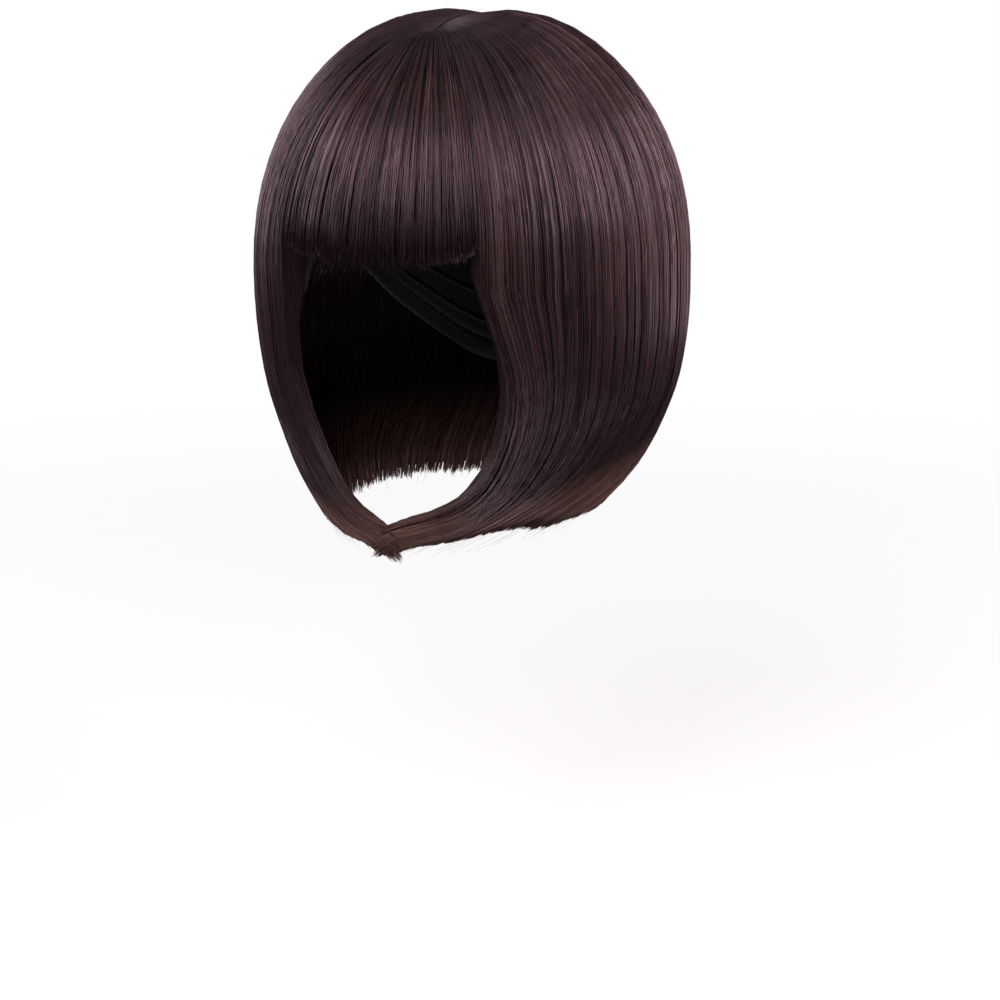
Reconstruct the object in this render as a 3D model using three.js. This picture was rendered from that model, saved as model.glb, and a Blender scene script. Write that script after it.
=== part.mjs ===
// Bob wig with a full fringe, in the form that it has when worn.
// Millimetres, +Z up. The wearer faces -Y and the wearer's left is +X.
// The origin is the cap's inner apex, where the crown of the head touches it.

import * as THREE from 'three';
import { mergeVertices } from 'three/addons/utils/BufferGeometryUtils.js';

// Head that the cap is made for, from the upright line through its crown
const HEAD_SIDE = 78;
const HEAD_FRONT = 94;
const HEAD_BACK = 98;
const HEAD_DOME = 100; // crown down to the widest level of the head
const HEAD_ROUNDNESS = 2.2; // 2 is an ellipse, more is boxier

// Cap, and the band along its rim
const CAP_WALL = 1.5;
const CAP_DEPTH = 165; // crown down to the rim at the nape
const BAND_WALL = 2;
const BAND_HEIGHT = 9;
const BAND_GAP = 0.5; // between the cap's rim and the band

// Hair lying on the cap
const SEAT_GAP = 0.8; // between the cap and the hair, or the parting strip
const HAIR_TOP = 5.7;
const HAIR_SIDE = 19.7;
const HAIR_FRONT = 11.2;
const HAIR_BACK = 8.7;
const HAIR_ROUNDNESS = 2.15;
const HAIR_BULGE_DROP = 10; // the hair is widest this far below the head's widest level

// Hair hanging below the widest level
const HEM_FALL = 113; // widest level down to the hem, behind and at the sides
const TIP_FALL = 9; // how much lower the tips under the chin hang
const TIP_NARROWNESS = 4;
const CORNER_RISE = 12; // how much the face edge ends above the tips
const CORNER_ANGLE = 15; // degrees of hair that the rising corner takes up
const LOCK_WALL = 10; // thickness where the hair hangs free
const HEM_WALL = 4.5; // thickness at the cut ends
const SPRING_DROP = 30; // height in which the hair leaves the cap
const SQUARE_CUT = 3; // more keeps the cut's square end to a shorter stretch

// Face opening and fringe
const FACE_ANGLE = 30.5; // from the front to the edge of the fringe, in degrees
const FRINGE_FALL = 107; // hair top down to the middle of the fringe's hem
const FRINGE_ARCH = 7; // how much the hem rises at the fringe's ends
const FRINGE_ARCH_SQUARENESS = 4; // more keeps the hem straight for longer
const FRINGE_LEAVES = 48; // crown down to where the fringe leaves the cap
const FRINGE_SPRING = 45;

// Parting, an eye-shaped slot that the hair springs from
const PARTING_HALF_LENGTH = 34;
const PARTING_HALF_WIDTH = 3;
const PARTING_BEHIND = -6; // middle of the parting, from the crown
const PARTING_DIP = 2.5; // the hair sinks this much towards the parting
const PARTING_DIP_SHARE = 0.14; // share of a strand that the sinking takes
const STRIP_WALL = 2.6;
const STRIP_GAP = 0.3;

// Forward sweep of the ends, in degrees, and its growth down the strand
const SWEEP_ANGLE = 38;
const SWEEP_START = 0.4;
const SWEEP_GROWTH = 2.2;
const RIGHT_CURTAIN_ANGLE = 7; // how much more of the cheek the right curtain covers
const RIGHT_CURTAIN_SPREAD = 0.7;

// Locks: ridges with grooves between them
const LOCK_GROOVE = 1.3;
const GROOVE_FADE = 0.25; // share of a strand in which its grooves grow to full depth
const FACE_EDGE_TUCK = 4; // the curtain's edge is thinned by this much
const FACE_EDGE_COLUMNS = 2; // half locks that the thinning takes up
const PIECE_GAP = 0.3;
const MERGE_DISTANCE = 0.001;

// Where the pieces of hair meet, in degrees from the front
const FRONT_END = 62;
const SIDE_END = 105;
const BACK_END = 180;

const FRINGE_LOCKS = 9;
const FRONT_LOCKS = 4;
const SIDE_LOCKS = 6;
const BACK_LOCKS = 10;

const DOME_ROWS = 10;
const FALL_ROWS = 9;
const FRINGE_ROWS = 10;
const CAP_COLUMNS = 48;
const CAP_ROWS = 10;
const STRIP_ROWS = 14;

// Reach of the hanging hair, as shares of its widest, down to the tips
const HAIR_SECTIONS = [
  { drop: 0.0, side: 1.0, front: 1.0, back: 1.0 },
  { drop: 0.15, side: 1.0, front: 0.986, back: 0.996 },
  { drop: 0.3, side: 0.986, front: 0.962, back: 0.976 },
  { drop: 0.45, side: 0.953, front: 0.937, back: 0.939 },
  { drop: 0.6, side: 0.888, front: 0.908, back: 0.862 },
  { drop: 0.75, side: 0.798, front: 0.883, back: 0.738 },
  { drop: 0.9, side: 0.65, front: 0.858, back: 0.614 },
  { drop: 1.0, side: 0.52, front: 0.843, back: 0.537 },
];

// Reach of the cap below the head's widest level, down to the nape
const CAP_SECTIONS = [
  { drop: 0.0, side: 1.0, front: 1.0, back: 1.0 },
  { drop: 0.35, side: 0.985, front: 0.98, back: 0.985 },
  { drop: 0.7, side: 0.94, front: 0.94, back: 0.93 },
  { drop: 1.0, side: 0.89, front: 0.9, back: 0.86 },
];

// Height of the cap's rim, as shares of its depth, from the front round to the nape
const CAP_RIM = [
  { angle: 0, depth: 0.29 },
  { angle: 38, depth: 0.38 },
  { angle: 66, depth: 0.69 },
  { angle: 80, depth: 0.62 },
  { angle: 97, depth: 0.6 },
  { angle: 122, depth: 0.8 },
  { angle: 150, depth: 0.96 },
  { angle: 180, depth: 1.0 },
];

// Path of the curtain's face edge, as shares: along it, of its fall and of its turn
const FACE_EDGE = [
  { along: 0.0, fall: 0.0, turn: 0.0 },
  { along: 0.15, fall: 0.177, turn: -0.11 },
  { along: 0.32, fall: 0.385, turn: -0.185 },
  { along: 0.5, fall: 0.595, turn: -0.1 },
  { along: 0.65, fall: 0.764, turn: 0.035 },
  { along: 0.74, fall: 0.85, turn: 0.185 },
  { along: 0.815, fall: 0.9, turn: 0.38 },
  { along: 0.89, fall: 0.94, turn: 0.63 },
  { along: 1.0, fall: 1.0, turn: 1.0 },
];

// Heights that follow from the sizes above
const CAP_TOP = CAP_WALL;
const CAP_WIDEST = -HEAD_DOME;
const SEAT_TOP = CAP_TOP + SEAT_GAP;
const HAIR_APEX = SEAT_TOP + HAIR_TOP;
const HAIR_WIDEST = CAP_WIDEST - HAIR_BULGE_DROP;
const FRINGE_HEM = HAIR_APEX - FRINGE_FALL;
const SECTION_DROP = HEM_FALL + TIP_FALL;
const CAP_SECTION_DROP = CAP_DEPTH - HEAD_DOME;

const mix = THREE.MathUtils.lerp;
const radians = THREE.MathUtils.degToRad;
const clamp = THREE.MathUtils.clamp;
const smooth = (value) => THREE.MathUtils.smoothstep(value, 0, 1);
const sides = ['side', 'front', 'back'];
const eachSide = (rule) => Object.fromEntries(sides.map((side) => [side, rule(side)]));

// Smooth curve through one column of a table, level at the first row
function tableCurve(rows, key, column) {
  const slopes = rows.map((row, index) => {
    const before = rows[index - 1];
    const after = rows[index + 1] ?? row;
    return before ? (after[column] - before[column]) / (after[key] - before[key]) : 0;
  });
  return (at) => {
    const above = rows.findIndex((row) => row[key] >= at);
    const end = above < 0 ? rows.length - 1 : Math.max(above, 1);
    const start = end - 1;
    const span = rows[end][key] - rows[start][key];
    const t = clamp((at - rows[start][key]) / span, 0, 1);
    const held = mix(rows[start][column], rows[end][column], t * t * (3 - 2 * t));
    return held + span * t * (1 - t) * ((1 - t) * slopes[start] - t * slopes[end]);
  };
}

const hairShare = eachSide((side) => tableCurve(HAIR_SECTIONS, 'drop', side));
const capShare = eachSide((side) => tableCurve(CAP_SECTIONS, 'drop', side));
const rimDepth = tableCurve(CAP_RIM, 'angle', 'depth');
const edgeFall = tableCurve(FACE_EDGE, 'along', 'fall');
const edgeTurn = tableCurve(FACE_EDGE, 'along', 'turn');

const domeShare = (up, roundness) => Math.max(1 - up ** roundness, 0) ** (1 / roundness);
const domeUp = (level, widest, apex) => clamp((level - widest) / (apex - widest), 0, 1);

// How far the hair's outside reaches at a height, to the side, front and back
const headWidest = { side: HEAD_SIDE, front: HEAD_FRONT, back: HEAD_BACK };
const hairDepth = { side: HAIR_SIDE, front: HAIR_FRONT, back: HAIR_BACK };
const hairWidest = eachSide((side) => headWidest[side] + SEAT_TOP + hairDepth[side]);

function hairReach(level) {
  const share = domeShare(domeUp(level, HAIR_WIDEST, HAIR_APEX), HAIR_ROUNDNESS);
  const drop = (HAIR_WIDEST - level) / SECTION_DROP;
  return eachSide((side) => hairWidest[side] * (drop > 0 ? hairShare[side](drop) : share));
}

// How far a surface at some distance off the head reaches at a height
function headReach(level, off) {
  const share = domeShare(domeUp(level, CAP_WIDEST, off), HEAD_ROUNDNESS);
  const drop = (CAP_WIDEST - level) / CAP_SECTION_DROP;
  return eachSide((side) => {
    const below = headWidest[side] * capShare[side](drop) + off;
    return drop > 0 ? below : (headWidest[side] + off) * share;
  });
}

function pointAt(reach, angle, level) {
  const forward = Math.cos(angle);
  const depth = forward > 0 ? reach.front : reach.back;
  return new THREE.Vector3(reach.side * Math.sin(angle), -forward * depth, level);
}

// In plan, shrunk to a disc, a strand runs straight from the parting to its end angle
function planLine(endAngle) {
  const end = { x: Math.sin(endAngle), y: -Math.cos(endAngle) };
  const rootY = PARTING_BEHIND + PARTING_HALF_LENGTH * end.y;
  const root = {
    x: (PARTING_HALF_WIDTH * end.x) / hairWidest.side,
    y: rootY / (rootY < 0 ? hairWidest.front : hairWidest.back),
  };
  return { root, run: { x: end.x - root.x, y: end.y - root.y } };
}

// Angle at which the strand has come this share of the way out from the disc's centre
function planAngle(endAngle, share) {
  const { root, run } = planLine(endAngle);
  const runSquared = run.x ** 2 + run.y ** 2;
  const runRoot = run.x * root.x + run.y * root.y;
  const reached = runRoot ** 2 - runSquared * (root.x ** 2 + root.y ** 2 - share ** 2);
  const step = Math.max(Math.sqrt(Math.max(reached, 0)) - runRoot, 0) / runSquared;
  return Math.atan2(root.x + run.x * step, -(root.y + run.y * step));
}

const towards = (from, to, distance) => {
  return from.clone().add(to.clone().sub(from).setLength(distance));
};

// Stations of a strand on the dome, evenly spaced round its curve
function domeStations(endAngle, lowest, count) {
  const { root } = planLine(endAngle);
  const half = HAIR_ROUNDNESS / 2;
  const startTilt = Math.acos(Math.hypot(root.x, root.y) ** half);
  const endTilt = Math.asin(domeUp(lowest, HAIR_WIDEST, HAIR_APEX) ** half);
  return Array.from({ length: count + 1 }, (_, row) => {
    const tilt = mix(startTilt, endTilt, row / count);
    const angle = planAngle(endAngle, Math.cos(tilt) ** (1 / half));
    const level = mix(HAIR_WIDEST, HAIR_APEX, Math.sin(tilt) ** (1 / half));
    return { endAngle, angle, level };
  });
}

// Angle by which a strand's end is swept forward, in degrees
function sweepOf(endAngle) {
  const sideways = Math.sin(radians(endAngle));
  return SWEEP_ANGLE * (endAngle < 90 ? Math.sqrt(sideways) : sideways);
}

// Stations of a strand below the widest level, swept forward under the chin
function fallStations(endAngle, side, count) {
  const nearFace = smooth((SIDE_END - endAngle) / (SIDE_END - FACE_ANGLE));
  const tipAngle = endAngle - sweepOf(endAngle);
  const tipShare = ((1 + Math.cos(radians(tipAngle))) / 2) ** TIP_NARROWNESS;
  const corner = clamp(1 - (endAngle - FACE_ANGLE) / CORNER_ANGLE, 0, 1) ** 2;
  const fall = HEM_FALL + TIP_FALL * tipShare - CORNER_RISE * corner;
  return Array.from({ length: count }, (_, row) => {
    const along = (row + 1) / count;
    const grown = clamp((along - SWEEP_START) / (1 - SWEEP_START), 0, 1) ** SWEEP_GROWTH;
    const turn = sweepOf(endAngle) * mix(grown, edgeTurn(along), nearFace);
    const spread = Math.max(Math.sin(Math.PI * along), 0) ** RIGHT_CURTAIN_SPREAD;
    const fuller = side < 0 ? RIGHT_CURTAIN_ANGLE * nearFace * spread : 0;
    const level = HAIR_WIDEST - fall * mix(along, edgeFall(along), nearFace);
    return { angle: side * radians(endAngle - turn - fuller), level };
  });
}

function longStrand(endAngle) {
  const side = Math.sign(endAngle);
  const onDome = domeStations(radians(endAngle), HAIR_WIDEST, DOME_ROWS);
  return [...onDome, ...fallStations(Math.abs(endAngle), side, FALL_ROWS)];
}

function fringeStrand(endAngle) {
  const arch = Math.abs(endAngle / FACE_ANGLE) ** FRINGE_ARCH_SQUARENESS;
  const hem = FRINGE_HEM + FRINGE_ARCH * arch;
  return domeStations(radians(endAngle), hem, FRINGE_ROWS);
}

// Inside of the hair: it lies on the cap, then springs clear of it and hangs free
function hairInside(station, along, leaves, spring) {
  const up = domeUp(station.level, HAIR_WIDEST, HAIR_APEX);
  const onSeat = mix(CAP_WIDEST, SEAT_TOP, up);
  const below = station.level + HAIR_BULGE_DROP;
  const level = mix(up > 0 ? onSeat : below, station.level, along ** SQUARE_CUT);
  const share = domeShare(domeUp(level, CAP_WIDEST, SEAT_TOP), HEAD_ROUNDNESS);
  const angle = up > 0 ? planAngle(station.endAngle, share) : station.angle;
  const thick = mix(LOCK_WALL, HEM_WALL, along ** 2);
  const hair = hairReach(level);
  const head = headReach(level, SEAT_TOP);
  const hung = eachSide((side) => hair[side] - Math.min(thick, hairDepth[side]));
  const held = eachSide((side) => Math.min(head[side], hung[side]));
  const seat = pointAt(up > 0 ? head : held, angle, level);
  const outside = pointAt(hair, angle, level);
  const full = outside.distanceTo(seat);
  const wall = Math.min(thick, full);
  return towards(outside, seat, mix(full, wall, smooth((leaves - level) / spring)));
}

// Closed solid between an outer and an inner grid of points, given as columns of rows
function solidBetween(outer, inner, isRing) {
  const columns = outer.length;
  const rows = outer[0].length;
  const points = [...outer.flat(), ...inner.flat()];
  const index = [];
  const at = (layer, column, row) => (layer * columns + (column % columns)) * rows + row;
  const quad = (a, b, c, d) => index.push(a, b, c, a, c, d);
  const spans = isRing ? columns : columns - 1;
  for (let c = 0; c < spans; c += 1) {
    for (let r = 0; r < rows - 1; r += 1) {
      quad(at(0, c, r), at(0, c, r + 1), at(0, c + 1, r + 1), at(0, c + 1, r));
      quad(at(1, c, r), at(1, c + 1, r), at(1, c + 1, r + 1), at(1, c, r + 1));
    }
    quad(at(0, c, 0), at(0, c + 1, 0), at(1, c + 1, 0), at(1, c, 0));
    const last = rows - 1;
    quad(at(0, c, last), at(1, c, last), at(1, c + 1, last), at(0, c + 1, last));
  }
  if (!isRing) {
    const end = columns - 1;
    for (let r = 0; r < rows - 1; r += 1) {
      quad(at(0, 0, r), at(1, 0, r), at(1, 0, r + 1), at(0, 0, r + 1));
      quad(at(0, end, r), at(0, end, r + 1), at(1, end, r + 1), at(1, end, r));
    }
  }
  const geometry = new THREE.BufferGeometry().setFromPoints(points);
  geometry.setIndex(index);
  return withoutFlatFaces(mergeVertices(geometry, MERGE_DISTANCE));
}

// Faces that shrank to a line at a pole are dropped
function withoutFlatFaces(geometry) {
  const index = geometry.getIndex().array;
  const kept = [];
  for (let i = 0; i < index.length; i += 3) {
    const [a, b, c] = [index[i], index[i + 1], index[i + 2]];
    if (a !== b && b !== c && c !== a) {
      kept.push(a, b, c);
    }
  }
  geometry.setIndex(kept);
  geometry.computeVertexNormals();
  return geometry;
}

// Hair between two end angles, in locks, with its two long edges half a gap short
function hairSolid({ from, to, locks, strand, leaves, spring, faceEdge }) {
  const columns = 2 * locks;
  const outer = [];
  const inner = [];
  for (let column = 0; column <= columns; column += 1) {
    const stations = strand(mix(from, to, column / columns));
    const last = stations.length - 1;
    const fromEdge = faceEdge === 'last' ? columns - column : column;
    const isGroove = column % 2 === 0;
    const nearEdge = faceEdge ? Math.max(0, 1 - fromEdge / FACE_EDGE_COLUMNS) : 0;
    const tuck = FACE_EDGE_TUCK * nearEdge ** 2;
    const inside = stations.map((station, row) => {
      return hairInside(station, row / last, leaves, spring);
    });
    const outside = stations.map((station, row) => {
      const along = row / last;
      const point = pointAt(hairReach(station.level), station.angle, station.level);
      const dip = PARTING_DIP * Math.max(0, 1 - along / PARTING_DIP_SHARE) ** 2;
      point.z -= dip;
      const sunk = (isGroove ? LOCK_GROOVE : 0) * smooth(along / GROOVE_FADE);
      const hanging = smooth((HAIR_WIDEST + SPRING_DROP - station.level) / SPRING_DROP);
      const depth = Math.max(sunk, tuck * hanging);
      return towards(point, inside[row], depth);
    });
    outer.push(outside);
    inner.push(inside);
  }
  for (const layer of [outer, inner]) {
    layer[0] = layer[0].map((p, row) => towards(p, layer[1][row], PIECE_GAP / 2));
    const end = columns;
    layer[end] = layer[end].map((p, row) => towards(p, layer[end - 1][row], PIECE_GAP / 2));
  }
  return solidBetween(outer, inner, false);
}

// Cap and band follow the head; a ring of columns between two shares of the way down
function headColumn(angle, off, startLevel, endLevel, rows) {
  const widest = CAP_WIDEST;
  const tiltOf = (level) => Math.asin(domeUp(level, widest, off) ** (HEAD_ROUNDNESS / 2));
  const wayTo = (level) => {
    const belowWidest = Math.max(0, widest - level) / HEAD_DOME;
    return 1 - tiltOf(level) / (Math.PI / 2) + belowWidest;
  };
  const first = wayTo(startLevel);
  const last = wayTo(endLevel);
  return Array.from({ length: rows + 1 }, (_, row) => {
    const way = mix(first, last, row / rows);
    const tilt = Math.max(0, 1 - way) * (Math.PI / 2);
    const onDome = mix(widest, off, Math.sin(tilt) ** (2 / HEAD_ROUNDNESS));
    const level = way < 1 ? onDome : widest - (way - 1) * HEAD_DOME;
    return pointAt(headReach(level, off), angle, level);
  });
}

const ringAngles = Array.from({ length: CAP_COLUMNS }, (_, column) => {
  return -180 + (360 * column) / CAP_COLUMNS;
});
const rimLevel = (angle) => -CAP_DEPTH * rimDepth(Math.abs(angle));

function capSolid() {
  const layer = (off) => ringAngles.map((angle) => {
    return headColumn(radians(angle), off, off, rimLevel(angle), CAP_ROWS);
  });
  return solidBetween(layer(CAP_WALL), layer(0), true);
}

function bandSolid() {
  const layer = (off) => ringAngles.map((angle) => {
    const top = rimLevel(angle) - BAND_GAP;
    return headColumn(radians(angle), off, top, top - BAND_HEIGHT, 2);
  });
  return solidBetween(layer(CAP_WALL), layer(CAP_WALL - BAND_WALL), true);
}

// Strip of scalp-coloured net, bent over the cap, that fills the parting between the hair
function partingSolid() {
  const seat = CAP_WALL + STRIP_GAP;
  const onSeat = eachSide((side) => (headWidest[side] + seat) / hairWidest[side]);
  const frontEnd = (PARTING_BEHIND - PARTING_HALF_LENGTH) * onSeat.front + STRIP_GAP;
  const backEnd = (PARTING_BEHIND + PARTING_HALF_LENGTH) * onSeat.back - STRIP_GAP;
  const halfWidth = PARTING_HALF_WIDTH * onSeat.side - STRIP_GAP;
  const heightOver = (x, y, off) => {
    const reach = y < 0 ? HEAD_FRONT : HEAD_BACK;
    const share = Math.hypot(x / (HEAD_SIDE + off), y / (reach + off));
    return mix(CAP_WIDEST, off, domeShare(share, HEAD_ROUNDNESS));
  };
  const layer = (off) => [-1, 0, 1].map((across) => {
    return Array.from({ length: STRIP_ROWS + 1 }, (_, row) => {
      const turn = (Math.PI * row) / STRIP_ROWS;
      const x = across * halfWidth * Math.sin(turn);
      const y = mix(frontEnd, backEnd, (1 + Math.cos(turn)) / 2);
      return new THREE.Vector3(x, y, heightOver(x, y, off));
    });
  });
  return solidBetween(layer(seat + STRIP_WALL), layer(seat), false);
}

const hairFibre = { color: 0x3e2a2d, roughness: 0.42, metalness: 0 };
const capNet = { color: 0x241a1a, roughness: 0.9, metalness: 0 };
const bandElastic = { color: 0x1c1515, roughness: 0.8, metalness: 0 };
const scalpNet = { color: 0x9c8880, roughness: 0.7, metalness: 0 };

const wig = new THREE.Group();

function addPiece(name, geometry, finish) {
  const mesh = new THREE.Mesh(geometry, new THREE.MeshStandardMaterial(finish));
  mesh.name = name;
  wig.add(mesh);
}

addPiece('cap', capSolid(), capNet);
addPiece('cap_band', bandSolid(), bandElastic);
addPiece('parting_strip', partingSolid(), scalpNet);

const fringe = {
  from: -FACE_ANGLE,
  to: FACE_ANGLE,
  locks: FRINGE_LOCKS,
  strand: fringeStrand,
  leaves: -FRINGE_LEAVES,
  spring: FRINGE_SPRING,
};
addPiece('fringe', hairSolid(fringe), hairFibre);

const curtains = [
  { name: 'front_lock', from: FACE_ANGLE, to: FRONT_END, locks: FRONT_LOCKS, atFace: true },
  { name: 'side_hair', from: FRONT_END, to: SIDE_END, locks: SIDE_LOCKS, atFace: false },
  { name: 'back_hair', from: SIDE_END, to: BACK_END, locks: BACK_LOCKS, atFace: false },
];
const hanging = { strand: longStrand, leaves: CAP_WIDEST, spring: SPRING_DROP };

for (const { name, from, to, locks, atFace } of curtains) {
  const left = { ...hanging, from, to, locks, faceEdge: atFace && 'first' };
  const right = { ...hanging, from: -to, to: -from, locks, faceEdge: atFace && 'last' };
  addPiece(`${name}_left`, hairSolid(left), hairFibre);
  addPiece(`${name}_right`, hairSolid(right), hairFibre);
}

export default wig;
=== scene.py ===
# %% [markdown]
# # A bob wig, dressed strand by strand
# The solid model holds this wig's true size and form: a stretch cap, the elastic along its rim,
# the strip of net in the parting and seven masses of hair. Here each mass of hair is replaced by
# hair of the same form: a dark under-layer, and over it some hundreds of strands that follow the
# way the fibre falls. The cap, band and net get the cloth that they are made of.

# %% Load the solid model
import math

import bmesh
import bpy
import numpy as np
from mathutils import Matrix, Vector


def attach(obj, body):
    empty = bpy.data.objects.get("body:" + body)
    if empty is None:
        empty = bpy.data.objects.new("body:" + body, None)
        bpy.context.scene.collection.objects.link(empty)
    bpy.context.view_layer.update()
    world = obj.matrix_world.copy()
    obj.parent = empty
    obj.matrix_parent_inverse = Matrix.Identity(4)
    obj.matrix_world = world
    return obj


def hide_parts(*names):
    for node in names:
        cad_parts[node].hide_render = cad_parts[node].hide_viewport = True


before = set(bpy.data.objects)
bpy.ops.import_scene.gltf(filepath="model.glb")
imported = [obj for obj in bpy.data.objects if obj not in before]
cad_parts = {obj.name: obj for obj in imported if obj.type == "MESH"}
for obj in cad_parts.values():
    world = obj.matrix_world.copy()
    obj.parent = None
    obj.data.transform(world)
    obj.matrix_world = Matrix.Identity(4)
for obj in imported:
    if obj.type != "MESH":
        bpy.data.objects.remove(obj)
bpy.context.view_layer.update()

MM = 0.001
random = np.random.default_rng(27)

# %% [markdown]
# ## The form of the hair
# Hair on a wig is dressed over a head, so its form is a dome above the temples and a narrowing
# bell below them. Both are described level by level: how far the hair reaches to the side, to the
# front and to the back. The solid model is built the same way, so the same sizes are named here,
# and the strands land on its surface to a fraction of a millimetre.

# %% Sizes of the head, the cap and the hair
HEAD = np.array([78, 94, 98]) * MM  # reach to the side, front and back
HEAD_DOME = 100 * MM
HEAD_ROUNDNESS = 2.2
CAP_DEPTH = 165 * MM
SEAT = 2.3 * MM  # cap wall and the gap under the hair

HAIR_DEPTH = np.array([19.7, 11.2, 8.7]) * MM
HAIR_TOP = 5.7 * MM
HAIR_ROUNDNESS = 2.15
HAIR_BULGE_DROP = 10 * MM
HEM_FALL = 113 * MM
TIP_FALL = 9 * MM
TIP_NARROWNESS = 4
CORNER_RISE = 12 * MM
CORNER_ANGLE = 15
LOCK_WALL = 10 * MM
HEM_WALL = 4.5 * MM
SQUARE_CUT = 3
SPRING_DROP = 30 * MM

HAIR = HEAD + SEAT + HAIR_DEPTH
APEX = SEAT + HAIR_TOP
CAP_WIDEST = -HEAD_DOME
WIDEST = CAP_WIDEST - HAIR_BULGE_DROP
SECTION_DROP = HEM_FALL + TIP_FALL

HAIR_SECTIONS = {
    "drop": (0.0, 0.15, 0.3, 0.45, 0.6, 0.75, 0.9, 1.0),
    "side": (1.0, 1.0, 0.986, 0.953, 0.888, 0.798, 0.65, 0.52),
    "front": (1.0, 0.986, 0.962, 0.937, 0.908, 0.883, 0.858, 0.843),
    "back": (1.0, 0.996, 0.976, 0.939, 0.862, 0.738, 0.614, 0.537),
}
CAP_SECTIONS = {
    "drop": (0.0, 0.35, 0.7, 1.0),
    "side": (1.0, 0.985, 0.94, 0.89),
    "front": (1.0, 0.98, 0.94, 0.9),
    "back": (1.0, 0.985, 0.93, 0.86),
}


# %% Reach of the hair and of the head at any level
def mix(first, second, share):
    return first + (second - first) * share


def smooth(value):
    value = np.clip(value, 0, 1)
    return value * value * (3 - 2 * value)


def curve_through(keys, values, at):
    """A smooth curve through a table's rows, level at the first one."""
    keys, values = np.array(keys), np.array(values)
    slopes = np.zeros(len(keys))
    slopes[1:-1] = (values[2:] - values[:-2]) / (keys[2:] - keys[:-2])
    slopes[-1] = (values[-1] - values[-2]) / (keys[-1] - keys[-2])
    row = np.clip(np.searchsorted(keys, at) - 1, 0, len(keys) - 2)
    span = keys[row + 1] - keys[row]
    t = np.clip((at - keys[row]) / span, 0, 1)
    held = mix(values[row], values[row + 1], t * t * (3 - 2 * t))
    return held + span * t * (1 - t) * ((1 - t) * slopes[row] - t * slopes[row + 1])


def dome_share(up, roundness):
    return np.maximum(1 - up**roundness, 0) ** (1 / roundness)


def reach_of(widest_reach, sections, drop, share):
    """Reach to the side, front and back, one row each."""
    below = [curve_through(sections["drop"], sections[way], drop) for way in ("side", "front", "back")]
    shares = np.where(drop > 0, np.stack(below), share)
    return shares * widest_reach.reshape(3, *[1] * np.ndim(drop))


def hair_reach(level):
    up = np.clip((level - WIDEST) / (APEX - WIDEST), 0, 1)
    return reach_of(HAIR, HAIR_SECTIONS, (WIDEST - level) / SECTION_DROP, dome_share(up, HAIR_ROUNDNESS))


def head_reach(level, off):
    up = np.clip((level - CAP_WIDEST) / (off - CAP_WIDEST), 0, 1)
    drop = (CAP_WIDEST - level) / (CAP_DEPTH - HEAD_DOME)
    bare = reach_of(HEAD, CAP_SECTIONS, drop, dome_share(up, HEAD_ROUNDNESS))
    return bare + off * np.where(drop > 0, 1, dome_share(up, HEAD_ROUNDNESS))


def point_at(reach, angle, level):
    """Angles run from the front, which is -Y, towards +X."""
    depth = np.where(np.cos(angle) > 0, reach[1], reach[2])
    return np.stack([reach[0] * np.sin(angle), -np.cos(angle) * depth, level], -1)


widest = hair_reach(np.array([WIDEST]))[:, 0] / MM
print("hair reaches", widest.round(1), "mm to the side, front and back")

# %% [markdown]
# ## The way each strand falls
# The fibre springs from an eye-shaped parting on the crown. Seen from above, and with the head
# drawn as a round disc, each strand runs straight from the parting to its place at the widest
# level. Below that the ends are dressed forward and inward, which gives a bob its closed line
# under the chin. The strands beside the face follow the edge of the face opening instead.

# %% Sizes of the parting, the fringe and the sweep of the ends
FACE_ANGLE = 30.5
SIDE_END = 105
FRINGE_FALL = 107 * MM
FRINGE_ARCH = 7 * MM
FRINGE_ARCH_SQUARENESS = 4
FRINGE_LEAVES = 48 * MM
FRINGE_SPRING = 45 * MM

FACE_TURN_FADES = 58  # end angle beyond which strands hang straight past the face edge's bend
PARTING_HALF_LENGTH = 34 * MM
PARTING_HALF_WIDTH = 3 * MM
PARTING_BEHIND = -6 * MM
PARTING_DIP = 2.5 * MM
PARTING_DIP_SHARE = 0.14

SWEEP_ANGLE = 38
SWEEP_START = 0.4
SWEEP_GROWTH = 2.2
DOME_PART = 10 / 19  # share of a long strand that lies on the dome

FACE_EDGE = {
    "along": (0.0, 0.15, 0.32, 0.5, 0.65, 0.74, 0.815, 0.89, 1.0),
    "fall": (0.0, 0.177, 0.385, 0.595, 0.764, 0.85, 0.897, 0.927, 0.957),
    "turn": (0.0, -0.12, -0.235, -0.215, -0.115, 0.045, 0.27, 0.565, 1.0),
    "right": (0.0, 4.2, 6.7, 9.8, 12.3, 12.3, 10.2, 7.4, 5.2),
}


# %% Angle and level of a strand at each share of its length
def plan_line(end):
    """Root of a strand on the disc, and its run from there to the rim."""
    tip = np.stack([np.sin(end), -np.cos(end)])
    root_y = PARTING_BEHIND + PARTING_HALF_LENGTH * tip[1]
    root_y = root_y / np.where(root_y < 0, HAIR[1], HAIR[2])
    root = np.stack([PARTING_HALF_WIDTH * tip[0] / HAIR[0], root_y])
    return root, tip - root


def plan_angle(end, share):
    root, run = plan_line(end)
    run_squared = (run**2).sum(0)
    run_root = (run * root).sum(0)
    reached = run_root**2 - run_squared * ((root**2).sum(0) - share**2)
    step = np.maximum(np.sqrt(np.maximum(reached, 0)) - run_root, 0) / run_squared
    spot = root + run * step
    return np.arctan2(spot[0], -spot[1])


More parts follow.
